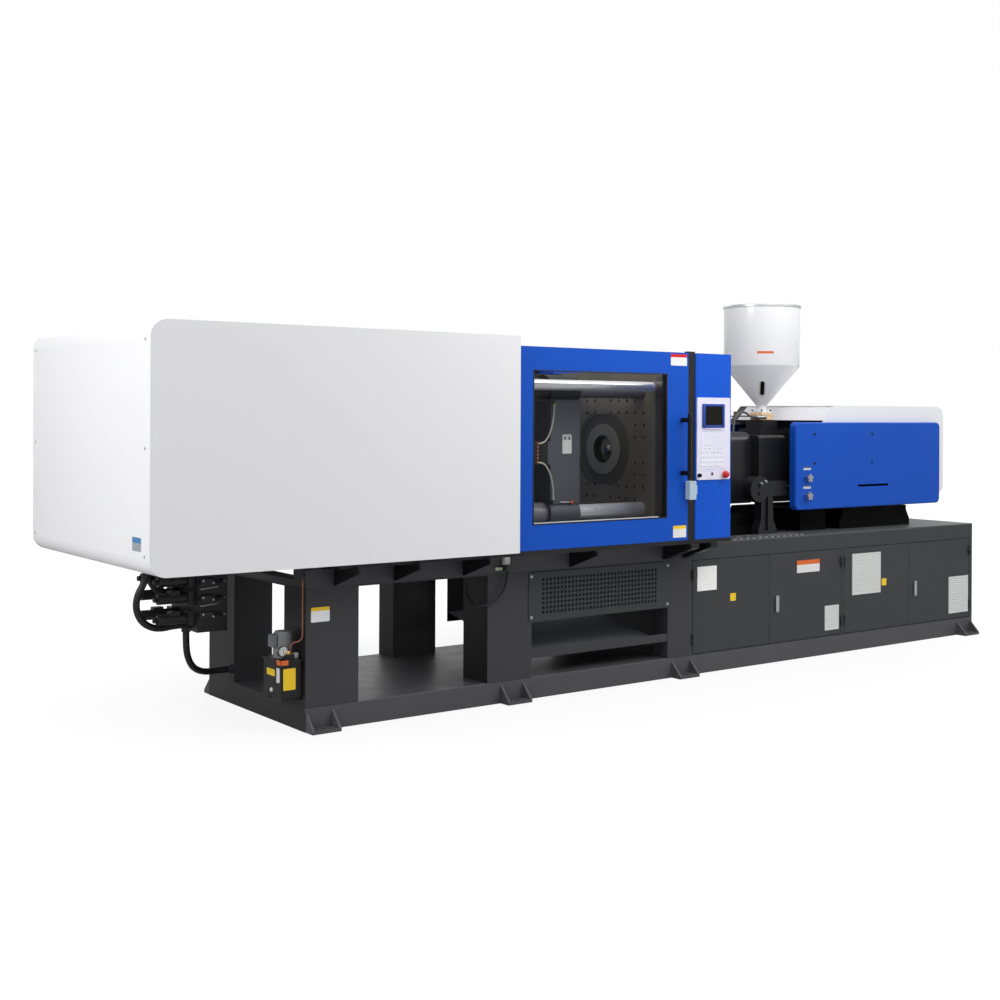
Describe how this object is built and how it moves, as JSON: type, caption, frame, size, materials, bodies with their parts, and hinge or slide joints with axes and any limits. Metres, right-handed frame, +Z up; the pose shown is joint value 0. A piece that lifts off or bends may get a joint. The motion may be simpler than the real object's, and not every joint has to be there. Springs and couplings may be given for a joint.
{
  "type": "injection moulding machine",
  "caption": "Horizontal injection moulding machine with toggle clamp, sliding safety gates, heated barrel, pellet hopper and a cabinet base with doors.",
  "frame": {"origin": "on the floor, under the middle of the overall box", "axes": "+X from the clamp end to the injection end, +Y away from the operator, +Z up"},
  "size_m": [5.9, 1.58, 2.16],
  "materials": {
    "barrel": "nitrided steel with heater bands",
    "barrel_shroud": "black sheet",
    "base_skid": "satin dark grey paint",
    "carriage_housing": "black painted casting",
    "carriage_rods": "ground rods",
    "clamp_cover": "white powder coat",
    "clamp_cylinder": "painted steel",
    "clamp_frame": "satin dark grey paint",
    "control_panel": "pale keypad sheet",
    "cross_link_lower": "painted casting",
    "cross_link_upper": "painted casting",
    "crosshead": "ground steel",
    "door_1": "satin dark grey paint",
    "door_2": "satin dark grey paint",
    "door_3": "satin dark grey paint",
    "door_4": "satin dark grey paint",
    "ejector": "ground steel",
    "estop_button": "red plastic",
    "fixed_platen": "machined and oiled",
    "frame_cable": "black sheath",
    "front_feet": "black painted casting",
    "front_gate": "blue powder coat",
    "front_gate_window": "clear pane",
    "front_link_lower": "painted casting",
    "front_link_upper": "painted casting",
    "gate_rails": "black paint, polished rod",
    "grease_tube_1": "nylon tube",
    "grease_tube_2": "nylon tube",
    "grille_panel": "satin dark grey paint, perforated",
    "guard_columns": "blue powder coat",
    "hood": "white powder coat",
    "hopper": "white paint",
    "hopper_cable": "grey sheath",
    "hopper_lid": "spun sheet",
    "hose_1": "black rubber",
    "hose_2": "black rubber",
    "hose_3": "black rubber",
    "injection_base": "satin dark grey paint",
    "injection_ram": "painted steel",
    "key_switch": "chrome plated",
    "latch_2": "chrome plated",
    "latch_4": "chrome plated",
    "lube_pipe": "copper",
    "lube_pump": "black tank, grey motor",
    "moving_platen": "painted casting",
    "pedestals": "black paint",
    "pump_set": "blue-grey paint",
    "rear_gate": "blue powder coat",
    "rear_link_lower": "painted casting",
    "rear_link_upper": "painted casting",
    "screw": "polished steel",
    "shutter": "bare plate",
    "side_guards": "blue powder coat",
    "step_plate": "slotted aluminium",
    "tail_stock": "painted casting",
    "throat_block": "cream paint",
    "tie_bars": "hard chromed and polished",
    "valve_block": "black manifold",
    "valve_knob_lower": "chrome plated",
    "valve_knob_upper": "chrome plated"
  },
  "bodies": {
    "machine": {"base_skid": "base_skid", "clamp_frame": "clamp_frame", "grille_panel": "grille_panel", "injection_base": "injection_base", "clamp_cover": "clamp_cover", "gate_rails": "gate_rails", "guard_columns": "guard_columns", "control_panel": "control_panel", "tie_bars": "tie_bars", "fixed_platen": "fixed_platen", "carriage_rods": "carriage_rods", "pedestals": "pedestals", "step_plate": "step_plate", "lube_pump": "lube_pump", "lube_pipe": "lube_pipe", "valve_block": "valve_block", "pump_set": "pump_set", "hose_1": "hose_1", "hose_2": "hose_2", "hose_3": "hose_3", "frame_cable": "frame_cable"},
    "front_gate": {"front_gate": "front_gate", "front_gate_window": "front_gate_window"},
    "rear_gate": {"rear_gate": "rear_gate"},
    "door_1": {"door_1": "door_1"},
    "door_2": {"door_2": "door_2"},
    "door_3": {"door_3": "door_3"},
    "door_4": {"door_4": "door_4"},
    "latch_2": {"latch_2": "latch_2"},
    "latch_4": {"latch_4": "latch_4"},
    "estop_button": {"estop_button": "estop_button"},
    "key_switch": {"key_switch": "key_switch"},
    "tail_stock": {"tail_stock": "tail_stock", "clamp_cylinder": "clamp_cylinder"},
    "crosshead": {"crosshead": "crosshead"},
    "rear_link_upper": {"rear_link_upper": "rear_link_upper"},
    "rear_link_lower": {"rear_link_lower": "rear_link_lower"},
    "cross_link_upper": {"cross_link_upper": "cross_link_upper"},
    "cross_link_lower": {"cross_link_lower": "cross_link_lower"},
    "moving_platen": {"moving_platen": "moving_platen", "grease_tube_1": "grease_tube_1", "grease_tube_2": "grease_tube_2"},
    "front_link_upper": {"front_link_upper": "front_link_upper"},
    "front_link_lower": {"front_link_lower": "front_link_lower"},
    "ejector": {"ejector": "ejector"},
    "carriage": {"carriage_housing": "carriage_housing", "front_feet": "front_feet", "barrel": "barrel", "barrel_shroud": "barrel_shroud", "side_guards": "side_guards", "hood": "hood", "hopper": "hopper", "hopper_lid": "hopper_lid", "throat_block": "throat_block", "hopper_cable": "hopper_cable"},
    "injection_ram": {"injection_ram": "injection_ram"},
    "screw": {"screw": "screw"},
    "shutter": {"shutter": "shutter"},
    "valve_knob_upper": {"valve_knob_upper": "valve_knob_upper"},
    "valve_knob_lower": {"valve_knob_lower": "valve_knob_lower"}
  },
  "joints": [
    {"name": "front_gate_slide", "type": "slide", "parent": "machine", "child": "front_gate", "axis": [-1, 0, 0], "range_m": [0, 0.88]},
    {"name": "rear_gate_slide", "type": "slide", "parent": "machine", "child": "rear_gate", "axis": [-1, 0, 0], "range_m": [0, 0.88]},
    {"name": "door_1_hinge", "type": "hinge", "parent": "machine", "child": "door_1", "pos_m": [0.335, -0.529, 0.38], "axis": [0, 0, -1], "range_deg": [0, 105]},
    {"name": "door_2_hinge", "type": "hinge", "parent": "machine", "child": "door_2", "pos_m": [1.6055, -0.529, 0.38], "axis": [0, 0, 1], "range_deg": [0, 88]},
    {"name": "door_3_hinge", "type": "hinge", "parent": "machine", "child": "door_3", "pos_m": [1.6325, -0.529, 0.38], "axis": [0, 0, -1], "range_deg": [0, 88]},
    {"name": "door_4_hinge", "type": "hinge", "parent": "machine", "child": "door_4", "pos_m": [2.916, -0.529, 0.38], "axis": [0, 0, 1], "range_deg": [0, 105]},
    {"name": "latch_2_turn", "type": "hinge", "parent": "door_2", "child": "latch_2", "pos_m": [1.0215, -0.53, 0.376], "axis": [0, 1, 0], "range_deg": [0, 90]},
    {"name": "latch_4_turn", "type": "hinge", "parent": "door_4", "child": "latch_4", "pos_m": [2.3275, -0.53, 0.376], "axis": [0, 1, 0], "range_deg": [0, 90]},
    {"name": "estop_press", "type": "slide", "parent": "machine", "child": "estop_button", "axis": [0, 1, 0], "range_m": [0, 0.005], "stiffness_N_per_m": 1200, "springref_m": -0.004},
    {"name": "key_switch_turn", "type": "hinge", "parent": "machine", "child": "key_switch", "pos_m": [0.176, -0.73, 1.132], "axis": [0, 1, 0], "range_deg": [0, 90]},
    {"name": "mould_height_slide", "type": "slide", "parent": "machine", "child": "tail_stock", "axis": [1, 0, 0], "range_m": [-0.25, 0.07]},
    {"name": "platen_slide", "type": "slide", "parent": "tail_stock", "child": "moving_platen", "axis": [1, 0, 0], "range_m": [-0.25, 0.25]},
    {"name": "crosshead_slide", "type": "slide", "parent": "tail_stock", "child": "crosshead", "axis": [1, 0, 0], "range_m": [-0.1201, 0.1201]},
    {"name": "rear_link_upper_swing", "type": "hinge", "parent": "tail_stock", "child": "rear_link_upper", "pos_m": [-1.065, 0, 1.45], "axis": [0, 1, 0], "range_deg": [-28.66, 28.66]},
    {"name": "front_link_upper_swing", "type": "hinge", "parent": "moving_platen", "child": "front_link_upper", "pos_m": [-0.655, 0, 1.45], "axis": [0, 1, 0], "range_deg": [-28.66, 28.66]},
    {"name": "cross_link_upper_swing", "type": "hinge", "parent": "crosshead", "child": "cross_link_upper", "pos_m": [-0.87952, 0, 1.32], "axis": [0, 1, 0], "range_deg": [-19.4, 19.4]},
    {"name": "rear_link_lower_swing", "type": "hinge", "parent": "tail_stock", "child": "rear_link_lower", "pos_m": [-1.065, 0, 1.07], "axis": [0, 1, 0], "range_deg": [-28.66, 28.66]},
    {"name": "front_link_lower_swing", "type": "hinge", "parent": "moving_platen", "child": "front_link_lower", "pos_m": [-0.655, 0, 1.07], "axis": [0, 1, 0], "range_deg": [-28.66, 28.66]},
    {"name": "cross_link_lower_swing", "type": "hinge", "parent": "crosshead", "child": "cross_link_lower", "pos_m": [-0.87952, 0, 1.2], "axis": [0, 1, 0], "range_deg": [-19.4, 19.4]},
    {"name": "ejector_slide", "type": "slide", "parent": "moving_platen", "child": "ejector", "axis": [1, 0, 0], "range_m": [0, 0.12]},
    {"name": "carriage_slide", "type": "slide", "parent": "machine", "child": "carriage", "axis": [1, 0, 0], "range_m": [0, 0.3]},
    {"name": "injection_slide", "type": "slide", "parent": "carriage", "child": "injection_ram", "axis": [1, 0, 0], "range_m": [0, 0.22]},
    {"name": "screw_spin", "type": "hinge", "parent": "injection_ram", "child": "screw", "pos_m": [1.2, 0, 1.26], "axis": [1, 0, 0], "continuous": true},
    {"name": "shutter_slide", "type": "slide", "parent": "carriage", "child": "shutter", "axis": [-1, 0, 0], "range_m": [0, 0.08]},
    {"name": "valve_knob_upper_turn", "type": "hinge", "parent": "carriage", "child": "valve_knob_upper", "pos_m": [1.368, -0.47, 1.079], "axis": [0, 1, 0], "continuous": true},
    {"name": "valve_knob_lower_turn", "type": "hinge", "parent": "carriage", "child": "valve_knob_lower", "pos_m": [1.368, -0.47, 0.969], "axis": [0, 1, 0], "continuous": true}
  ],
  "couplings": [
    {"joint": "crosshead_slide", "follows": "platen_slide", "ratio": 0.48},
    {"joint": "rear_link_upper_swing", "follows": "platen_slide", "rad_per_m": 2},
    {"joint": "rear_link_lower_swing", "follows": "platen_slide", "rad_per_m": -2},
    {"joint": "front_link_upper_swing", "follows": "platen_slide", "rad_per_m": -2},
    {"joint": "front_link_lower_swing", "follows": "platen_slide", "rad_per_m": 2},
    {"joint": "cross_link_upper_swing", "follows": "platen_slide", "rad_per_m": -1.35},
    {"joint": "cross_link_lower_swing", "follows": "platen_slide", "rad_per_m": 1.35}
  ]
}
